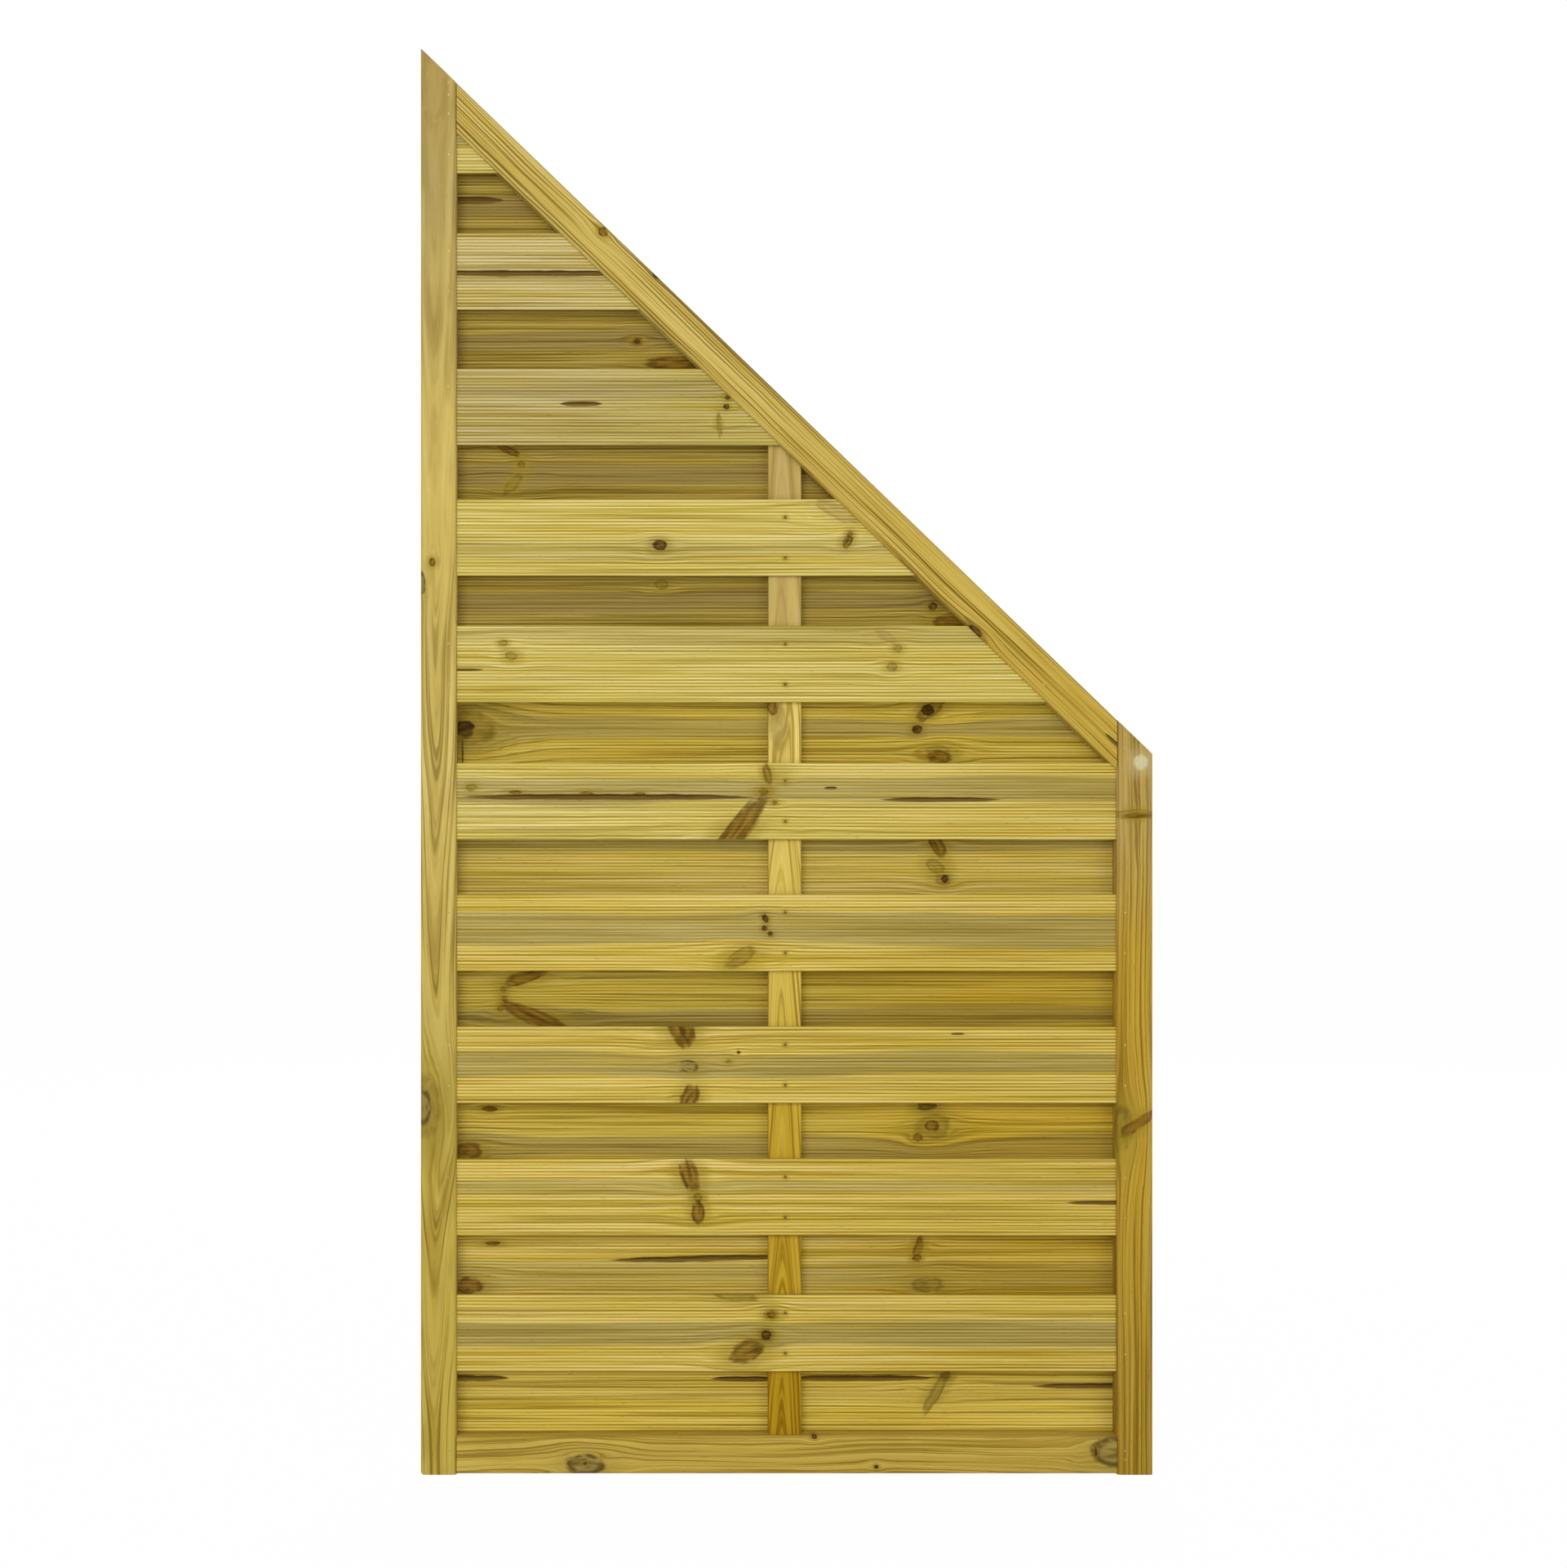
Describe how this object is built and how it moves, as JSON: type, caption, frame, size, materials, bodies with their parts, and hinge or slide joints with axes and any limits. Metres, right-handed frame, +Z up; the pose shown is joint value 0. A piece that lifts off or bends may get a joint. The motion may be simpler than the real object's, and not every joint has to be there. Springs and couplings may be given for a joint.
{
  "type": "fence panel",
  "caption": "Sloped timber fence panel: a grooved frame with a slanting top rail that holds staggered front and back layers of finely ribbed horizontal slats.",
  "frame": {"origin": "on the ground line, midway across the width and the depth", "axes": "+Z up, +X across the panel towards its short side, +Y from the front face to the back"},
  "size_m": [0.9, 0.044, 1.754],
  "materials": {
    "frame_timber": "planed, pressure-treated softwood, matt",
    "batten_timber": "planed, pressure-treated softwood, matt",
    "front_slat_timber": "finely ribbed, pressure-treated softwood, matt",
    "back_slat_timber": "finely ribbed, pressure-treated softwood, matt",
    "brad_steel": "dull zinc wire"
  },
  "bodies": {
    "root": {"left_stile": "frame_timber", "right_stile": "frame_timber", "sloped_top_rail": "frame_timber", "sill": "frame_timber", "centre_batten": "batten_timber", "front_slat_01": "front_slat_timber", "front_slat_02": "front_slat_timber", "front_slat_03": "front_slat_timber", "front_slat_04": "front_slat_timber", "front_slat_05": "front_slat_timber", "front_slat_06": "front_slat_timber", "front_slat_07": "front_slat_timber", "front_slat_08": "front_slat_timber", "front_slat_09": "front_slat_timber", "front_slat_10": "front_slat_timber", "back_slat_01": "back_slat_timber", "back_slat_02": "back_slat_timber", "back_slat_03": "back_slat_timber", "back_slat_04": "back_slat_timber", "back_slat_05": "back_slat_timber", "back_slat_06": "back_slat_timber", "back_slat_07": "back_slat_timber", "back_slat_08": "back_slat_timber", "back_slat_09": "back_slat_timber", "back_slat_10": "back_slat_timber", "left_stile_brads": "brad_steel", "right_stile_brads": "brad_steel", "top_rail_brads": "brad_steel", "batten_brads": "brad_steel", "corner_brads": "brad_steel"}
  },
  "joints": []
}
